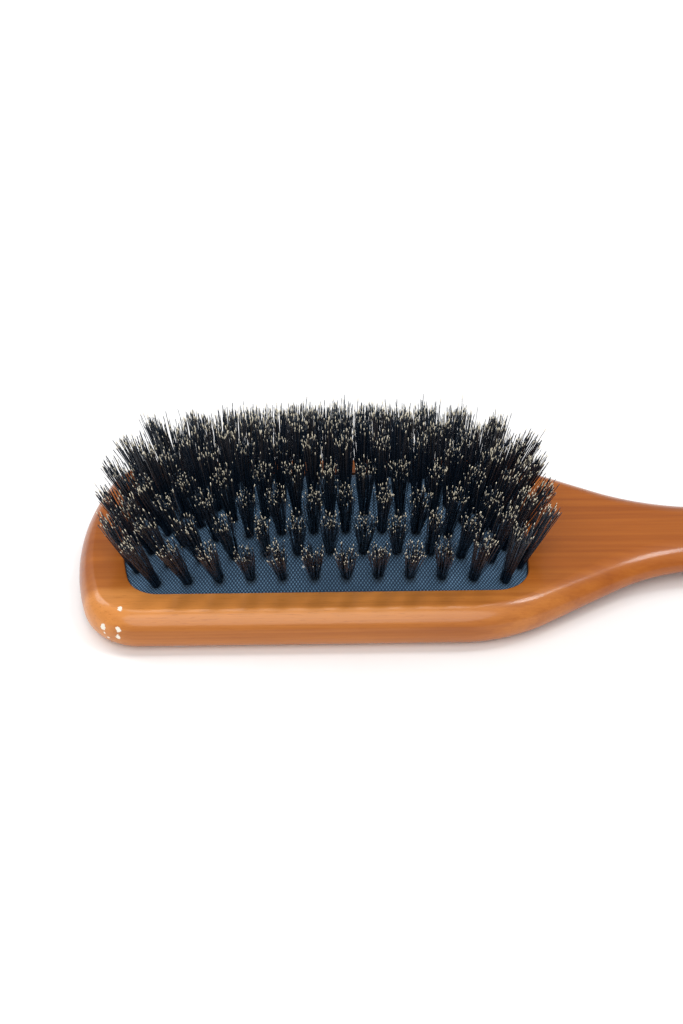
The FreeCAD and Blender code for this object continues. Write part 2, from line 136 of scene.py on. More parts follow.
# Half of the cushion's opening grown outwards by grow, from its toe's middle to its heel's middle:
# bow, corner, side, corner, bow. Its point count matches the plank outline up to the neck.
def pocketOutline(grow=0.0):
    o = pocket
    half = o["half"] + grow
    toeBow, heelBow = o["toeBow"] + grow, o["heelBow"] + grow
    toeCorner, heelCorner = o["toeCorner"] + grow, o["heelCorner"] + grow
    toeBowX, heelBowX = o["start"] - grow + toeBow, pocketEnd + grow - heelBow
    toeY, heelY = half - toeCorner, half - heelCorner
    toeCornerX = toeBowX - math.sqrt((toeBow - toeCorner) ** 2 - toeY ** 2)
    heelCornerX = heelBowX + math.sqrt((heelBow - heelCorner) ** 2 - heelY ** 2)
    toeAngle = math.atan2(toeY, toeCornerX - toeBowX)
    heelAngle = math.atan2(heelY, heelCornerX - heelBowX)
    points, _ = joinRuns([
        arcRun((toeBowX, 0), toeBow, math.pi, toeAngle, 26),
        arcRun((toeCornerX, toeY), toeCorner, toeAngle, quarter, 28),
        straightRun((toeCornerX, half), (heelCornerX, half), 68),
        arcRun((heelCornerX, heelY), heelCorner, quarter, heelAngle, 20),
        arcRun((heelBowX, 0), heelBow, heelAngle, 0, 18),
    ])
    return points


# A whole loop from its upper half: the half, then its mirror image back again without the shared ends.
def wholeLoop(half):
    return np.concatenate([half, half[-2:0:-1] * np.array([1, -1])])


def smoothStep(x, start, end):
    share = np.clip((x - start) / (end - start), 0, 1)
    return share * share * (3 - 2 * share)


# Flat points at a height, as rows of x, y, z.
def raised(flat, height):
    return np.column_stack([flat, np.broadcast_to(height, len(flat))])


# The same points with y = 0 and x held between two ends, so that a loop closes on a line.
def ontoSpine(flat, start, end):
    return np.column_stack([np.clip(flat[:, 0], start, end), np.zeros(len(flat))])


# Quads between closed rows of equal length: point k of a row meets point k of the next.
def loftFaces(rowCount, around):
    k = np.arange(around)
    after = (k + 1) % around
    start = np.arange(rowCount - 1)[:, None] * around
    corners = [start + k, start + after, start + around + after, start + around + k]
    return np.stack(corners, -1).reshape(-1, 4)


# Quads of an open grid of rows by columns.
def gridFaces(rowCount, columnCount):
    start = (np.arange(rowCount - 1)[:, None] * columnCount + np.arange(columnCount - 1)).ravel()
    return np.stack([start, start + 1, start + columnCount + 1, start + columnCount], 1)


def joinParts(parts):
    places = np.concatenate([part[0] for part in parts])
    offsets = np.cumsum([0] + [len(part[0]) for part in parts[:-1]])
    return places, np.concatenate([part[1] + offset for part, offset in zip(parts, offsets)])


# Makes the piece; weld merges doubled points, drops faces with no area and turns every face outwards.
def newPiece(name, places, faces, body, material, weld=True):
    mesh = bpy.data.meshes.new(name)
    mesh.from_pydata(places.tolist(), [], faces if isinstance(faces, list) else faces.tolist())
    if weld:
        work = bmesh.new()
        work.from_mesh(mesh)
        bmesh.ops.remove_doubles(work, verts=work.verts, dist=1e-6)
        bmesh.ops.dissolve_degenerate(work, dist=1e-7, edges=work.edges)
        bmesh.ops.recalc_face_normals(work, faces=work.faces)
        work.to_mesh(mesh)
        work.free()
    mesh.polygons.foreach_set("use_smooth", np.ones(len(mesh.polygons), bool))
    mesh.materials.append(material)
    mesh.update()
    piece = bpy.data.objects.new(name, mesh)
    bpy.context.scene.collection.objects.link(piece)
    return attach(piece, body)


# Gives each point of the piece a number that its material reads.
def setAttribute(piece, label, values):
    attribute = piece.data.attributes.new(label, "FLOAT", "POINT")
    attribute.data.foreach_set("value", values.astype(np.float32).ravel())


def newMaterial(name):
    material = bpy.data.materials.new(name)
    material.use_nodes = True
    return material


# Puts a value or another node's output into a socket.
def plug(material, socket, value):
    if isinstance(value, bpy.types.NodeSocket):
        material.node_tree.links.new(value, socket)
    elif hasattr(value, "__len__") and len(value) == 3 and socket.type == "RGBA":
        socket.default_value = (*value, 1)
    else:
        socket.default_value = value


def addNode(material, kind, inputs, **settings):
    node = material.node_tree.nodes.new("ShaderNode" + kind)
    for key, value in settings.items():
        setattr(node, key, value)
    for key, value in inputs.items():
        plug(material, node.inputs[key], value)
    return node


def mathNode(material, operation, *values):
    return addNode(material, "Math", dict(enumerate(values)), operation=operation).outputs[0]


def noiseNode(material, vector, scale, detail=3.0, roughness=0.5):
    stretched = addNode(material, "Mapping", {"Vector": vector, "Scale": scale}).outputs[0]
    inputs = {"Vector": stretched, "Scale": 1.0, "Detail": detail, "Roughness": roughness}
    return addNode(material, "TexNoise", inputs).outputs["Fac"]


def spreadNode(material, value, low, high, toLow=0.0, toHigh=1.0):
    inputs = {"Value": value, "From Min": low, "From Max": high, "To Min": toLow, "To Max": toHigh}
    return addNode(material, "MapRange", inputs).outputs["Result"]


def rampNode(material, factor, stops):
    node = addNode(material, "ValToRGB", {"Fac": factor})
    elements = node.color_ramp.elements
    while len(elements) < len(stops):
        elements.new(0.5)
    for element, (place, colour) in zip(elements, stops):
        element.position = place
        element.color = (*colour, 1)
    return node.outputs["Color"]


def mixNode(material, factor, first, second, mode="MIX"):
    node = addNode(material, "Mix", {}, data_type="RGBA", blend_type=mode)
    for number, value in ((0, factor), (6, first), (7, second)):
        plug(material, node.inputs[number], value)
    return node.outputs[2]


def bumpNode(material, height, strength, distance, under=None):
    inputs = {"Height": height, "Strength": strength, "Distance": distance}
    if under is not None:
        inputs["Normal"] = under
    return addNode(material, "Bump", inputs).outputs["Normal"]


def setShader(material, values):
    shader = material.node_tree.nodes["Principled BSDF"]
    for key, value in values.items():
        plug(material, shader.inputs[key], value)
    return material


woodLook = {
    "light": (0.55, 0.200, 0.034), "middle": (0.46, 0.149, 0.020), "dark": (0.32, 0.086, 0.009),
    "toneStops": (0.33, 0.50, 0.67),               # tones that the dark, middle and light colours stand for
    "streakShare": 0.50, "fibreShare": 0.25, "cloudShare": 0.25,
    # a darker tint towards the handle and away from the near edge: where it takes over from the paler wood
    # along X and along Y, and its tint
    "darkTint": (0.76, 0.60, 0.30), "darkTintX": (-0.045, 0.020), "darkTintY": (-0.0280, -0.018),
    "darkTintShare": 0.8, "darkTintCloud": 0.3,
    # painted light: a paler band between two lines of constant Y on the strip in front of the cushion,
    # lifting the tufts' shadow there, fading out over its margin
    "paintedLight": (0.83, 0.34, 0.085), "paintedLightY": (-0.0340, -0.0268), "paintedLightMargin": 0.0030,
    "paintedLightShare": 0.18, "paintedLightTone": 0.6,
    "poreShare": 0.32, "roughness": 0.42, "coat": 0.50, "coatRoughness": 0.14,
    "drift": 0.0018,                               # how far the grain wanders to each side
    # noise scales along X, Y and Z
    "driftScale": (6, 18, 18), "streakScale": (5, 330, 330), "fibreScale": (30, 1700, 1700),
    "cloudScale": (16, 34, 34), "poreScale": (260, 3000, 3000), "lacquerScale": (900, 1500, 1500),
    # where the lacquer is chipped near a corner of the toe, and each chip's radius
    "chips": [((-0.11216, -0.03392, 0.00707), 0.00090), ((-0.10798, -0.03576, 0.00784), 0.00080),
              ((-0.10818, -0.03616, 0.00566), 0.00065), ((-0.10761, -0.03199, 0.01153), 0.00060),
              ((-0.11189, -0.03435, 0.00555), 0.00030), ((-0.11103, -0.03473, 0.00430), 0.00030)],
    "chipColour": (0.86, 0.80, 0.68), "chipEdge": 0.00008,
    "ragged": 0.0003, "raggedScale": (1300, 1300, 1300),
}


# The chips' mask: 1 where the distance to a chip's centre plus a ragged noise is under its radius.
def chipMask(m, place):
    look = woodLook
    noise = noiseNode(m, place, look["raggedScale"], 3.0, 0.6)
    ragged = spreadNode(m, noise, 0.3, 0.7, -look["ragged"], look["ragged"])
    chipped = 0.0
    for centre, radius in look["chips"]:
        away = addNode(m, "VectorMath", {0: place, 1: centre}, operation="DISTANCE").outputs["Value"]
        chip = spreadNode(m, mathNode(m, "ADD", away, ragged), radius, radius - look["chipEdge"])
        chipped = mathNode(m, "MAXIMUM", chipped, chip)
    return chipped


# Lacquered maple: long streaks along X bent a little by a slow noise, fine fibres, short pores and chips.
def makeWoodMaterial():
    m, look = newMaterial("lacquered_wood"), woodLook
    place = addNode(m, "TexCoord", {}).outputs["Object"]
    drift = spreadNode(m, noiseNode(m, place, look["driftScale"], 2.0), 0, 1, -look["drift"], look["drift"])
    sway = addNode(m, "CombineXYZ", {"Y": drift, "Z": drift}).outputs[0]
    bent = addNode(m, "VectorMath", {0: place, 1: sway}, operation="ADD").outputs[0]
    streaks = noiseNode(m, bent, look["streakScale"], 3.0, 0.6)
    fibres = noiseNode(m, bent, look["fibreScale"], 4.0, 0.65)
    cloud = noiseNode(m, place, look["cloudScale"], 3.0)
    tone = mathNode(m, "MULTIPLY", fibres, look["fibreShare"])
    tone = mathNode(m, "MULTIPLY_ADD", streaks, look["streakShare"], tone)
    tone = mathNode(m, "MULTIPLY_ADD", cloud, look["cloudShare"], tone)
    colour = rampNode(m, tone, list(zip(look["toneStops"], (look["dark"], look["middle"], look["light"]))))

    axes = addNode(m, "SeparateXYZ", {"Vector": bent}).outputs
    darkTint = [spreadNode(m, axes[axis], *look[key]) for axis, key in ((0, "darkTintX"), (1, "darkTintY"))]
    deep = mathNode(m, "MULTIPLY", cloud, look["darkTintCloud"])
    deep = mathNode(m, "MULTIPLY_ADD", mathNode(m, "MAXIMUM", *darkTint), look["darkTintShare"], deep)
    colour = mixNode(m, deep, colour, mixNode(m, 1.0, colour, look["darkTint"], "MULTIPLY"))
    # Painted light on the strip in front of the cushion: a paler band that lifts the shadow the tufts cast
    # there, fading towards the handle.
    (low, high), margin = look["paintedLightY"], look["paintedLightMargin"]
    paintedLight = mathNode(m, "MULTIPLY", spreadNode(m, axes[1], low - margin, low),
                   spreadNode(m, axes[1], high + margin, high))
    paintedLight = mathNode(m, "MULTIPLY", paintedLight, spreadNode(m, axes[0], look["darkTintX"][1], look["darkTintX"][0]))
    paintedLight = mathNode(m, "MULTIPLY", paintedLight, mathNode(m, "MULTIPLY_ADD", tone, look["paintedLightTone"], look["paintedLightShare"]))
    colour = mixNode(m, paintedLight, colour, look["paintedLight"])
    pores = spreadNode(m, noiseNode(m, bent, look["poreScale"], 2.0, 0.6), 0.58, 0.68)
    colour = mixNode(m, mathNode(m, "MULTIPLY", pores, look["poreShare"]), colour, look["dark"])
    chipped = chipMask(m, place)
    colour = mixNode(m, chipped, colour, look["chipColour"])

    height = mathNode(m, "MULTIPLY", fibres, 0.15)
    height = mathNode(m, "SUBTRACT", height, mathNode(m, "MULTIPLY", chipped, 3.0))
    normal = bumpNode(m, height, 0.35, 0.00005)
    lacquer = bumpNode(m, noiseNode(m, place, look["lacquerScale"], 3.0), 0.16, 0.00006, normal)
    roughness = spreadNode(m, fibres, 0.3, 0.7, look["roughness"] - 0.05, look["roughness"] + 0.08)
    return setShader(m, {"Base Color": colour, "Roughness": roughness, "Normal": normal,
                         "Specular IOR Level": 0.25, "Coat Weight": look["coat"],
                         "Coat Roughness": look["coatRoughness"], "Coat Normal": lacquer})


# The plank. Rows run from the back's middle line to its edge, up two quarter ellipses that meet at the
# widest line, and over the flat top to the opening's rim; along the grip the top closes on its middle line.
# Upper ellipse: inset * (1 - sin a) / (1 - sin crease), drop * (1 - cos a / cos crease).
def makePlank():
    p = plank
    half, halfNormals = plankOutline()
    outline, normals = wholeLoop(half), wholeLoop(halfNormals)
    x = outline[:, 0]
    grip = smoothStep(x, p["sideEnd"], p["neckX"])
    fallStart = p["sideEnd"] + p["reliefRise"] + p["reliefFlat"]

    def backZ(at):
        rise = smoothStep(at, p["sideEnd"], p["sideEnd"] + p["reliefRise"])
        return p["relief"] * (rise - smoothStep(at, fallStart, fallStart + p["reliefFall"]))

    def inwards(distance):
        return outline - normals * np.broadcast_to(distance, x.shape)[:, None]

    thickness = topZ - backZ(x)
    upper, lower = thickness * p["upperShare"], thickness * (1 - p["upperShare"])
    topInset = p["topInset"] + (p["gripInset"] - p["topInset"]) * grip
    backInset = p["backInset"] + (p["gripBackInset"] - p["backInset"]) * grip
    crease = np.radians(p["crease"] + (p["gripCrease"] - p["crease"]) * grip)
    capX = handleEndX - p["cap"]
    backEdge = inwards(backInset)
    spine = ontoSpine(outline, toeX + p["spineStart"], capX)
    rows = []
    for share in np.linspace(0, 1, 9)[:-1]:
        flat = spine * (1 - share) + backEdge * share
        rows.append(raised(flat, backZ(flat[:, 0])))
    for angle in np.linspace(0, quarter, 11):
        flat = inwards(backInset * (1 - math.sin(angle)))
        rows.append(raised(flat, backZ(flat[:, 0]) + lower * (1 - math.cos(angle))))
    for share in np.linspace(0, 1, 13)[1:]:
        angle = quarter + (crease - quarter) * share
        flat = inwards(topInset * (1 - np.sin(angle)) / (1 - np.sin(crease)))
        rows.append(raised(flat, topZ - upper * (1 - np.cos(angle) / np.cos(crease))))
    rows.append(raised(inwards(topInset + p["creaseFlat"]), topZ))
    rim = pocketOutline(p["rimRound"])
    turn = len(rim) - 1
    heelX = rim[turn, 0]
    shareAlong = (half[turn + 1:, 0] - half[turn, 0]) / (half[-1, 0] - half[turn, 0])
    gripSpine = np.column_stack([heelX + shareAlong * (capX - heelX), np.zeros(len(half) - turn - 1)])
    rows.append(raised(wholeLoop(np.concatenate([rim, gripSpine])), topZ))
    return np.concatenate(rows), loftFaces(len(rows), len(outline))


# The opening in the top: a small round on the rim, the lip, the groove for the flange, and the floor.
def makePocketRows():
    p, o = plank, pocket
    rows = []
    for angle in np.linspace(0, quarter, 5):
        grow = p["rimRound"] * (1 - math.sin(angle))
        rows.append((grow, topZ - p["rimRound"] * (1 - math.cos(angle))))
    reach, grooveZ, floorZ = o["grooveReach"], rimZ - o["grooveHeight"], topZ - o["depth"]
    rows += [(0, rimZ), (reach, rimZ), (reach, grooveZ), (0, grooveZ), (0, floorZ)]
    places = [raised(wholeLoop(pocketOutline(grow)), height) for grow, height in rows]
    floor = ontoSpine(wholeLoop(pocketOutline()), o["start"] + o["half"], pocketEnd - o["half"])
    places.append(raised(floor, floorZ))
    return np.concatenate(places), loftFaces(len(places), len(places[0]))


woodMaterial = makeWoodMaterial()
woodPlaces, woodFaces = joinParts([makePlank(), makePocketRows()])
wood = newPiece("paddle_and_handle", woodPlaces, woodFaces, "brush", woodMaterial)
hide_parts("wood_body")
print("wood:", len(wood.data.polygons), "faces")

cushion = {
    "crown": 0.010, "crownX": toeX + 0.0725, "powerAlong": 2.6, "powerAcross": 2.1,
    "cloth": 0.0004, "rubber": 0.0014, "wallGap": 0.0001, "flangeInside": 0.0008,
    "dimple": 0.00035, "dimpleRadius": 0.0020,
    "alongSteps": 190, "cornerSteps": 16, "sideSteps": 64,
    "pressed": 0.003,                              # how far the crown sinks at full press
}
tuft = {
    "pitch": 0.00815, "rowPitch": 0.0056, "gridX": toeX + 0.0678, "rows": 9, "shortRow": 12,
    "outerY": 0.0224,                              # the outermost rows' distance from the middle line
    "toeSpread": 0.0034, "toeSpreadPower": 1.5, "heelSpread": 0.0134, "heelSpreadEnd": 0.93,
    "toeSplay": 0.44, "toeSplayPower": 2.4, "heelSplay": 0.62, "heelSplayPower": 4.0, "heelSplayFade": 0.6,
    "sideSplay": 0.73, "sideSplayPower": 0.6, "sideSplayFade": 1.3,
    "toeFadePower": 4.0, "heelFadePower": 3.0,
    "bristles": 68, "length": 0.0184, "rootRadius": 0.00122, "tipRadius": 0.0029,
    "thickness": 0.000125, "sunk": 0.0018, "lengthVaries": 0.075, "shortest": 0.78, "longest": 1.17,
    "strayShare": 0.03, "strayLength": 0.16, "strayReach": 1.4,
    "sway": 0.0004, "bow": 0.0002,                 # how far a whole tuft leans astray, and a bristle bows
    "turnVaries": 0.2, "reachVaries": 0.10, "tuftLengthVaries": 0.015, "thinnest": 0.75, "thickest": 1.25,
    "fanPower": 1.2, "bendPower": 1.1,             # over 1: tips crowd the middle, roots stand straight
    # the skin's levels as shares of the length, and its width at each
    "levels": (0.0, 0.2, 0.45, 0.7, 0.92, 0.965, 1.0), "widths": (1.0, 1.0, 0.95, 0.85, 0.72, 0.95, 0.6),
}


# Height of the cloth: rim + (crown + lip) * (1 - along ^ a) * (1 - across ^ b).
def crownHeight(x, y):
    c = cushion
    reach = np.where(x < c["crownX"], c["crownX"] - pocket["start"], pocketEnd - c["crownX"])
    along = np.clip(np.abs(x - c["crownX"]) / reach, 0, 1) ** c["powerAlong"]
    across = np.clip(np.abs(y) / pocket["half"], 0, 1) ** c["powerAcross"]
    return rimZ + (c["crown"] + pocket["lip"]) * (1 - along) * (1 - across)


# Share of the way from the crown to the opening's two ends, each 0 on the other's side.
def sharesAlong(x):
    crownX = cushion["crownX"]
    toToe = np.clip((crownX - x) / (crownX - pocket["start"]), 0, 1)
    toHeel = np.clip((x - crownX) / (pocketEnd - crownX), 0, 1)
    return toToe, toHeel


# Rows bow outwards at both ends, a share a of the way along:
# x - toe * a ^ p * (1 - (y / outer)^2) and x + heel * a * (end - a) * (1 - (y / outer)^2).
def spreadRow(x, y):
    t = tuft
    toToe, toHeel = sharesAlong(x)
    inner = 1 - (y / t["outerY"]) ** 2
    toHeelShift = t["heelSpread"] * toHeel * np.maximum(0, t["heelSpreadEnd"] - toHeel)
    return x + (toHeelShift - t["toeSpread"] * toToe ** t["toeSpreadPower"]) * inner


# Every tuft's place on the cloth, its row and its zone: long and short rows take turns.
def tuftPlaces():
    t = tuft
    found = []
    for row in range(t["rows"]):
        count = t["shortRow"] + row % 2
        column = np.arange(count)
        y = np.full(count, (row - (t["rows"] - 1) / 2) * t["rowPitch"])
        x = spreadRow(t["gridX"] + (column - (count - 1) / 2) * t["pitch"], y)
        ring = np.minimum(np.minimum(column, count - 1 - column), min(row, t["rows"] - 1 - row, 3))
        found.append((row + 1, ring, np.column_stack([x, y])))
    return found


# Run along X and Y for a rise of 1, with a and v the shares of the way to the end and to the side:
# -toe * a ^ p or heel * a ^ p * (1 - fade * v^2) along, side * v ^ q * max(0, 1 - sideFade * a ^ r) across.
def splay(flat):
    t = tuft
    toToe, toHeel = sharesAlong(flat[:, 0])
    across = np.abs(flat[:, 1]) / pocket["half"]
    heelRun = t["heelSplay"] * toHeel ** t["heelSplayPower"] * (1 - t["heelSplayFade"] * across ** 2)
    fading = toToe ** t["toeFadePower"] + toHeel ** t["heelFadePower"]
    runY = np.sign(flat[:, 1]) * t["sideSplay"] * across ** t["sideSplayPower"]
    runY *= np.maximum(0, 1 - t["sideSplayFade"] * fading)
    return heelRun - t["toeSplay"] * toToe ** t["toeSplayPower"], runY


# The cushion's plan as a grid: rows of constant y between the two ends of the opening, set in by inset.
# A row's ends lie on the end bow or on the corner: x = centre -/+ sqrt(radius^2 - (y - centreY)^2).
def cushionGrid(inset, sideSteps, cornerSteps, alongSteps):
    o = pocket
    half = o["half"] - inset
    corner = o["toeCorner"] - inset
    cornerY = half - corner
    straight = np.linspace(0, cornerY, sideSteps // 2 + 1)
    bend = cornerY + corner * np.sin(np.linspace(0, quarter, cornerSteps + 1)[1:])
    upperY = np.concatenate([straight, bend])
    y = np.concatenate([-upperY[:0:-1], upperY])
    outline = pocketOutline(-inset)
    top = int(np.argmax(outline[:, 1]))
    last = len(outline) - 1 - int(np.argmax(outline[::-1, 1]))
    toeSide, heelSide = outline[:top + 1], outline[last:][::-1]
    lowX = np.interp(np.abs(y), toeSide[:, 1], toeSide[:, 0])
    highX = np.interp(np.abs(y), heelSide[:, 1], heelSide[:, 0])
    share = np.linspace(0, 1, alongSteps + 1)
    x = lowX[:, None] * (1 - share) + highX[:, None] * share
    return x, np.broadcast_to(y[:, None], x.shape)


# A closed shell from an upper and a lower grid of the same size, with walls along the four borders.
def shellOf(upper, lower):
    rows, columns = upper.shape[:2]
    faces = gridFaces(rows, columns)
    count = rows * columns
    number = np.arange(count).reshape(rows, columns)
    border = np.concatenate([number[0, :-1], number[:-1, -1], number[-1, :0:-1], number[:0:-1, 0]])
    after = np.roll(border, -1)
    walls = np.stack([border, after, after + count, border + count], 1)
    places = np.concatenate([upper.reshape(-1, 3), lower.reshape(-1, 3)])
    return places, np.concatenate([faces, faces[:, ::-1] + count, walls[:, ::-1]])


allTufts = tuftPlaces()
tuftFlat = np.concatenate([flat for _, _, flat in allTufts])


# Distance from each grid point to the nearest tuft, in the plan.
def tuftDistance(x, y):
    gaps = np.hypot(x[..., None] - tuftFlat[:, 0], y[..., None] - tuftFlat[:, 1])
    return gaps.min(-1)


clothLook = {
    "ground": (0.012, 0.036, 0.072), "thread": (0.15, 0.28, 0.44), "dust": (0.65, 0.68, 0.68),
    "alongPitch": 0.00087, "acrossPitch": 0.00124, "roughness": 0.75,
    # painted shade: the cloth darkens round each tuft's root, where the bristles enter it
    "rootShade": (0.008, 0.016, 0.026), "rootShadeShare": 0.85, "rootShadeRadius": 0.0017,
    "threadShift": 0.00022, "threadNoise": 900.0,  # how far and how finely the threads wander
    "speckScale": 260.0, "speckRarity": 0.955,
}


# Plain weave: sin(2 pi u / p) * sin(2 pi v / q) is high where a warp thread passes over a weft thread.
def makeClothMaterial():
    m, look = newMaterial("woven_cloth"), clothLook
    place = addNode(m, "TexCoord", {}).outputs["Object"]
    run = addNode(m, "UVMap", {}, uv_map="threads").outputs["UV"]
    noise = {"Vector": place, "Scale": look["threadNoise"], "Detail": 2.0}
    ragged = addNode(m, "TexNoise", noise).outputs["Color"]
    shift = addNode(m, "VectorMath", {0: ragged, 1: (0.5, 0.5, 0.5)}, operation="SUBTRACT").outputs[0]
    shift = addNode(m, "VectorMath", {0: shift, "Scale": look["threadShift"]}, operation="SCALE").outputs[0]
    run = addNode(m, "VectorMath", {0: run, 1: shift}, operation="ADD").outputs[0]
    axes = addNode(m, "SeparateXYZ", {"Vector": run}).outputs
    waves = []
    for axis, pitch in ((0, look["alongPitch"]), (1, look["acrossPitch"])):
        waves.append(mathNode(m, "SINE", mathNode(m, "MULTIPLY", axes[axis], 2 * math.pi / pitch)))
    weave = spreadNode(m, mathNode(m, "MULTIPLY", *waves), -1, 1)
    fade = noiseNode(m, place, (60, 60, 60), 3.0, 0.6)
    light = spreadNode(m, weave, 0.45, 0.95)
    light = mathNode(m, "MULTIPLY", light, spreadNode(m, fade, 0.3, 0.7, 0.6, 1.1))
    colour = mixNode(m, light, look["ground"], look["thread"])
    # Painted shade round each tuft's root, read from the shade attribute.
    rootShadeMask = addNode(m, "Attribute", {}, attribute_name="shade").outputs["Fac"]
    colour = mixNode(m, rootShadeMask, colour, look["rootShade"])
    cells = {"Vector": place, "Scale": look["speckScale"], "Randomness": 1.0}
    specks = addNode(m, "TexVoronoi", cells).outputs
    pick = addNode(m, "SeparateColor", {"Color": specks["Color"]}).outputs[0]
    lone = spreadNode(m, pick, look["speckRarity"], look["speckRarity"] + 0.01)
    dot = mathNode(m, "MULTIPLY", spreadNode(m, specks["Distance"], 0.11, 0.05), lone)
    colour = mixNode(m, dot, colour, look["dust"])
    height = mathNode(m, "ADD", weave, mathNode(m, "MULTIPLY", dot, 0.6))
    return setShader(m, {"Base Color": colour, "Roughness": look["roughness"],
                         "Normal": bumpNode(m, height, 0.8, 0.00018), "Specular IOR Level": 0.35,
                         "Sheen Weight": 0.25, "Sheen Roughness": 0.4, "Sheen Tint": (0.5, 0.72, 1.0, 1)})


def makeRubberMaterial():
    m = newMaterial("cushion_rubber")
    place = addNode(m, "TexCoord", {}).outputs["Object"]
    cloud = noiseNode(m, place, (120, 120, 120), 4.0, 0.6)
    colour = mixNode(m, cloud, (0.010, 0.011, 0.013), (0.028, 0.030, 0.034))
    bloom = noiseNode(m, place, (2200, 2200, 2200), 3.0)
    return setShader(m, {"Base Color": colour, "Roughness": spreadNode(m, cloud, 0.3, 0.7, 0.55, 0.72),
                         "Normal": bumpNode(m, bloom, 0.4, 0.00004)})


# The cloth: a crowned sheet bonded to the rubber, drawn down a little round each tuft:
# height - dimple * exp(-(distance / radius)^2).
def makeCloth(material):
    c = cushion
    x, y = cushionGrid(c["wallGap"], c["sideSteps"], c["cornerSteps"], c["alongSteps"])
    away = tuftDistance(x, y)
    crown = crownHeight(x, y)
    edgeFade = smoothStep(crown, rimZ, rimZ + 0.0012)
    upper = np.stack([x, y, crown - c["dimple"] * np.exp(-(away / c["dimpleRadius"]) ** 2) * edgeFade], -1)
    lower = upper - np.array([0, 0, c["cloth"]])
    piece = newPiece("cushion_cloth", *shellOf(upper, lower), "brush", material, weld=False)
    along = np.zeros_like(x)
    along[:, 1:] = np.cumsum(np.linalg.norm(np.diff(upper, axis=1), axis=2), axis=1)
    along -= along[:, [along.shape[1] // 2]]
    across = np.zeros_like(x)
    across[1:] = np.cumsum(np.linalg.norm(np.diff(upper, axis=0), axis=2), axis=0)
    across -= across[[across.shape[0] // 2]]
    atPoint = np.tile(np.column_stack([along.ravel(), across.ravel()]), (2, 1))
    corners = np.zeros(len(piece.data.loops), np.int32)
    piece.data.loops.foreach_get("vertex_index", corners)
    layer = piece.data.uv_layers.new(name="threads")
    layer.data.foreach_set("uv", atPoint[corners].astype(np.float32).ravel())
    # Painted shade: darker towards each tuft's root.
    dark = clothLook["rootShadeShare"] * np.exp(-(away / clothLook["rootShadeRadius"]) ** 4)
    setAttribute(piece, "shade", np.tile(dark.ravel(), 2))
    return piece


# The rubber under the cloth: a crowned wall of even thickness with a flange in the wood's groove.
# Rows go up the outside from the flange to the crown, then down the inside and back under the flange.
def makeRubber(material):
    c, o = cushion, pocket
    flangeLow, flangeTop = rimZ - o["grooveHeight"] + c["wallGap"], rimZ - c["cloth"]
    base = wholeLoop(pocketOutline(-c["wallGap"]))
    inner = wholeLoop(pocketOutline(-c["flangeInside"]))
    flange = wholeLoop(pocketOutline(o["grooveReach"] - 2 * c["wallGap"]))
    toeEnd, heelEnd = o["start"] + o["half"], pocketEnd - o["half"]

    def dome(loop, drop):
        rows = []
        for share in np.linspace(0, 1, 22):
            flat = loop * (1 - share) + ontoSpine(loop, toeEnd, heelEnd) * share
            rows.append(raised(flat, crownHeight(flat[:, 0], flat[:, 1]) - drop))
        return rows

    outside = [raised(flange, flangeLow), raised(flange, flangeTop), raised(base, flangeTop)]
    outside += dome(base, c["cloth"] + 0.00002)[1:]
    insideRows = dome(inner, c["cloth"] + c["rubber"])[::-1]
    insideRows += [raised(inner, flangeLow), raised(flange, flangeLow)]
    parts = [(np.concatenate(rows), loftFaces(len(rows), len(base))) for rows in (outside, insideRows)]
    return newPiece("cushion_rubber", *joinParts(parts), "brush", material)


cloth = makeCloth(makeClothMaterial())
rubber = makeRubber(makeRubberMaterial())
for piece, node, slotName in (
    (cloth, "cushion_facing", "cushion_cloth"), (rubber, "cushion_pad", "cushion_rubber"),
):
    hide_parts(node)
    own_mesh(piece)
print("cushion:", len(cloth.data.polygons) + len(rubber.data.polygons), "faces")

bristleLook = {
    "root": (0.0024, 0.0070, 0.0170), "middle": (0.0070, 0.0140, 0.0270), "brown": (0.080, 0.064, 0.058),
    "tip": (1.0, 0.90, 0.68), "roughness": 0.27,
    "tipStart": (1.03, 0.935),                     # where the pale end starts; past 1 a bristle has none
}


# Boar bristle: near black at the root, a few browner towards the tip, the split end pale.
def makeBristleMaterial():
    m, look = newMaterial("boar_bristle"), bristleLook
    along = addNode(m, "Attribute", {}, attribute_name="along").outputs["Fac"]
    shade = addNode(m, "Attribute", {}, attribute_name="shade").outputs["Fac"]
    place = addNode(m, "TexCoord", {}).outputs["Object"]
    mottle = spreadNode(m, noiseNode(m, place, (900, 900, 900), 2.0), 0.3, 0.7)
    brownness = mathNode(m, "MULTIPLY", spreadNode(m, shade, 0.55, 1.0), spreadNode(m, along, 0.35, 0.95))
    body = mixNode(m, brownness, look["middle"], look["brown"])
    colour = mixNode(m, spreadNode(m, along, 0.05, 0.5), look["root"], body)
    start = spreadNode(m, shade, 0.0, 1.0, *look["tipStart"])
    pale = spreadNode(m, mathNode(m, "SUBTRACT", along, start), 0.0, 0.02)
    pale = mathNode(m, "MULTIPLY", pale, spreadNode(m, mottle, 0, 1, 0.7, 1.0))
    colour = mixNode(m, pale, colour, look["tip"])
    roughness = spreadNode(m, mottle, 0, 1, look["roughness"] - 0.06, look["roughness"] + 0.1)
    return setShader(m, {"Base Color": colour, "Roughness": roughness,
                         "Specular IOR Level": 0.75, "Specular Tint": (0.75, 0.88, 1.0, 1)})


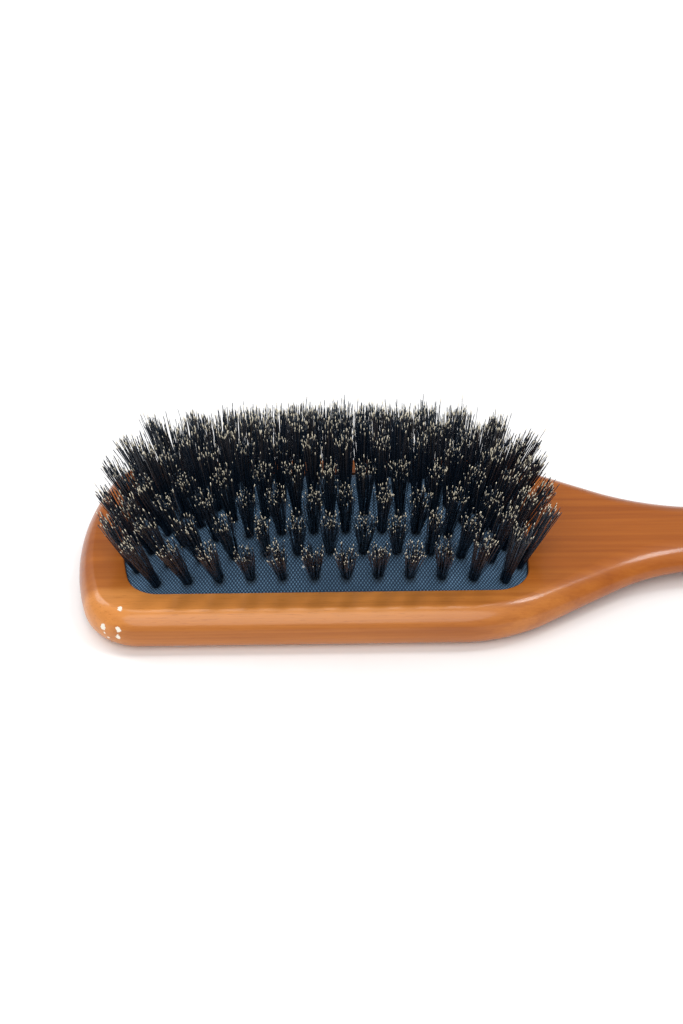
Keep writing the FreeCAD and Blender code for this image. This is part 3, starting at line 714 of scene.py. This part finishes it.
# Columns of a tuft's frame: across its lean, square to that, and along its axis.
def tuftFrames(flat):
    runX, runY = splay(flat)
    axis = np.column_stack([runX, runY, np.ones(len(flat))])
    axis /= np.linalg.norm(axis, axis=1)[:, None]
    across = np.column_stack([axis[:, 2], np.zeros(len(flat)), -axis[:, 0]])
    across /= np.linalg.norm(across, axis=1)[:, None]
    return np.stack([across, np.cross(axis, across), axis], -1)


# Faces of many three-sided skins with that many levels each: their quads, then a triangle at both ends.
def bristleFaces(count, levels):
    firsts = (np.arange(count) * levels * 3)[:, None, None]
    ends = np.array([[2, 1, 0], [levels * 3 - 3, levels * 3 - 2, levels * 3 - 1]])
    sides = loftFaces(levels, 3) + firsts
    return sides.reshape(-1, 4).tolist() + (ends + firsts).reshape(-1, 3).tolist()


# One group of tufts. A bristle's centre line leaves the root and fans out:
# root + (tip - root) * s ^ bendPower + bow * sin(pi * s) sideways, and s * length along the tuft's axis;
# its three-sided skin thins towards a small knob at the split tip.
def makeTufts(name, flat, body, material, rng):
    t = tuft
    count = len(flat) * t["bristles"]
    which = np.repeat(np.arange(len(flat)), t["bristles"])
    frames = tuftFrames(flat)[which]
    spread = np.sqrt(rng.random(count))
    turn = rng.random(count) * 2 * math.pi
    root = (t["rootRadius"] * spread)[:, None] * np.column_stack([np.cos(turn), np.sin(turn)])
    stray = rng.random(count) < t["strayShare"]
    tipTurn = turn + rng.normal(0, t["turnVaries"], count)
    tipReach = t["tipRadius"] * spread ** t["fanPower"] * (1 + rng.normal(0, t["reachVaries"], count))
    tipReach *= np.where(stray, t["strayReach"], 1)
    sway = rng.normal(0, t["sway"], (len(flat), 2))[which]
    tip = tipReach[:, None] * np.column_stack([np.cos(tipTurn), np.sin(tipTurn)]) + sway
    tuftLength = t["length"] * (1 + rng.normal(0, t["tuftLengthVaries"], len(flat)))[which]
    length = tuftLength * np.clip(1 + rng.normal(0, t["lengthVaries"], count), t["shortest"], t["longest"])
    length *= np.where(stray, 1.0 + t["strayLength"] * rng.random(count), 1)
    bow = rng.normal(0, t["bow"], (count, 2))
    s = np.array((-t["sunk"] / t["length"],) + t["levels"])
    along = np.clip(s, 0, 1)
    lateral = root[:, None] + (tip - root)[:, None] * (along ** t["bendPower"])[:, None]
    lateral += bow[:, None] * np.sin(math.pi * along)[:, None]
    rise = np.sqrt(np.maximum(length ** 2 - ((tip - root) ** 2).sum(1), 0))
    local = np.concatenate([lateral, (rise[:, None] * s)[..., None]], -1)
    base = np.column_stack([flat, crownHeight(flat[:, 0], flat[:, 1])])[which]
    centre = np.einsum("nij,nkj->nki", frames, local) + base[:, None]
    thick = t["thinnest"] + (t["thickest"] - t["thinnest"]) * rng.random(count)
    width = t["thickness"] * np.array((1.0,) + t["widths"]) * thick[:, None]
    corner = np.arange(3) * 2 * math.pi / 3 + rng.random(count)[:, None] * 2
    side, front = frames[:, None, :, 0], frames[:, None, :, 1]
    ring = side * np.cos(corner)[..., None] + front * np.sin(corner)[..., None]
    skin = centre[:, :, None] + width[:, :, None, None] * ring[:, None]
    shade = rng.random(count)[:, None, None]
    faces = bristleFaces(count, len(s))
    piece = newPiece(name, skin.reshape(-1, 3), faces, body, material, weld=False)
    for label, values in (("along", s[None, :, None]), ("shade", shade)):
        setAttribute(piece, label, np.broadcast_to(values, (count, len(s), 3)))
    return piece


bristleMaterial = makeBristleMaterial()
random = np.random.default_rng(41)
faceCount = 0
for row, ring, flat in allTufts:
    for number, zone in enumerate(zones):
        chosen = flat[ring == number]
        if len(chosen):
            piece = makeTufts(f"bristles_row{row}_{zone}", chosen, f"{zone}_zone", bristleMaterial, random)
            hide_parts(f"tufts_row{row}_{zone}")
            faceCount += len(piece.data.polygons)
print("bristles:", faceCount, "faces")


# Drawn steel wire: fine scratches along its length.
def makeWireMaterial():
    m = newMaterial("drawn_wire")
    place = addNode(m, "TexCoord", {}).outputs["Object"]
    lines = noiseNode(m, place, (800, 9000, 9000), 2.0)
    colour = mixNode(m, lines, (0.42, 0.41, 0.40), (0.62, 0.61, 0.60))
    return setShader(m, {"Base Color": colour, "Metallic": 1.0,
                         "Roughness": spreadNode(m, lines, 0.3, 0.7, 0.25, 0.4),
                         "Normal": bumpNode(m, lines, 0.3, 0.00002)})


wireMaterial = makeWireMaterial()
for name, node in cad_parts.items():
    if name.startswith("anchors_"):
        node.data.materials.clear()
        node.data.materials.append(wireMaterial)
print("anchors: wire material on the packed nodes")

studio = {
    "floorSize": 6.0, "floorColour": (0.90, 0.90, 0.905),
    "worldColour": (0.93, 0.96, 1.0), "worldStrength": 0.34,
    # each light: its direction's azimuth and elevation, the width of its disc, its strength and its colour
    "overhead": (95.0, 79.0, 30.0, 0.75, (1.0, 0.985, 0.96)),
    "front": (264.0, 50.0, 52.0, 1.75, (1.0, 0.985, 0.96)),
    "left": (146.0, 40.0, 26.0, 0.75, (0.97, 0.98, 1.0)),
    "right": (8.0, 62.0, 13.0, 0.65, (1.0, 0.99, 0.98)),
}


# A soft light from far away, shining from that azimuth (0 is +X, 90 is +Y) and elevation.
def addLight(name):
    azimuth, elevation, disc, strength, colour = studio[name]
    light = bpy.data.lights.new(name, "SUN")
    light.angle = math.radians(disc)
    light.energy = strength
    light.color = colour
    lamp = bpy.data.objects.new(name, light)
    a, e = math.radians(azimuth), math.radians(elevation)
    source = Vector((math.cos(a) * math.cos(e), math.sin(a) * math.cos(e), math.sin(e)))
    lamp.rotation_euler = source.to_track_quat("Z", "Y").to_euler()
    bpy.context.scene.collection.objects.link(lamp)


def makeStudio():
    half = studio["floorSize"] / 2
    mesh = bpy.data.meshes.new("floor")
    corners = [(-half, -half, 0), (half, -half, 0), (half, half, 0), (-half, half, 0)]
    mesh.from_pydata(corners, [], [(0, 1, 2, 3)])
    m = newMaterial("pale_floor")
    place = addNode(m, "TexCoord", {}).outputs["Object"]
    grain = noiseNode(m, place, (400, 400, 400), 3.0)
    setShader(m, {"Base Color": studio["floorColour"], "Roughness": 0.9, "Specular IOR Level": 0.1,
                  "Normal": bumpNode(m, grain, 0.05, 0.0001)})
    mesh.materials.append(m)
    floor = bpy.data.objects.new("floor", mesh)
    bpy.context.scene.collection.objects.link(floor)
    for name in ("overhead", "front", "left", "right"):
        addLight(name)
    world = bpy.data.worlds.new("pale_room")
    world.use_nodes = True
    background = world.node_tree.nodes["Background"]
    background.inputs["Color"].default_value = (*studio["worldColour"], 1)
    background.inputs["Strength"].default_value = studio["worldStrength"]
    bpy.context.scene.world = world
    bpy.context.scene.view_settings.view_transform = "Standard"


view = {
    "elevation": 36.505, "azimuth": -0.240, "roll": -0.567, "distance": 0.35145, "lens": 45.535,
    "target": (toeX + 0.07088, 0.00283, topZ + 0.0034),
}


# The camera looks at the target from distance away: back = -forward, turned about it by the roll.
def makeCamera():
    a, e, r = (math.radians(view[key]) for key in ("azimuth", "elevation", "roll"))
    forward = Vector((-math.sin(a) * math.cos(e), math.cos(a) * math.cos(e), -math.sin(e)))
    right = Vector((math.cos(a), math.sin(a), 0))
    up = right.cross(forward)
    rolledRight = right * math.cos(r) + up * math.sin(r)
    rolledUp = up * math.cos(r) - right * math.sin(r)
    lens = bpy.data.cameras.new("camera")
    lens.lens, lens.sensor_width = view["lens"], 36.0
    lens.clip_start, lens.clip_end = 0.01, 20.0
    camera = bpy.data.objects.new("camera", lens)
    turned = Matrix((rolledRight, rolledUp, -forward)).transposed().to_4x4()
    turned.translation = Vector(view["target"]) - forward * view["distance"]
    camera.matrix_world = turned
    bpy.context.scene.collection.objects.link(camera)
    bpy.context.scene.camera = camera


makeStudio()
makeCamera()
print("studio and camera ready")
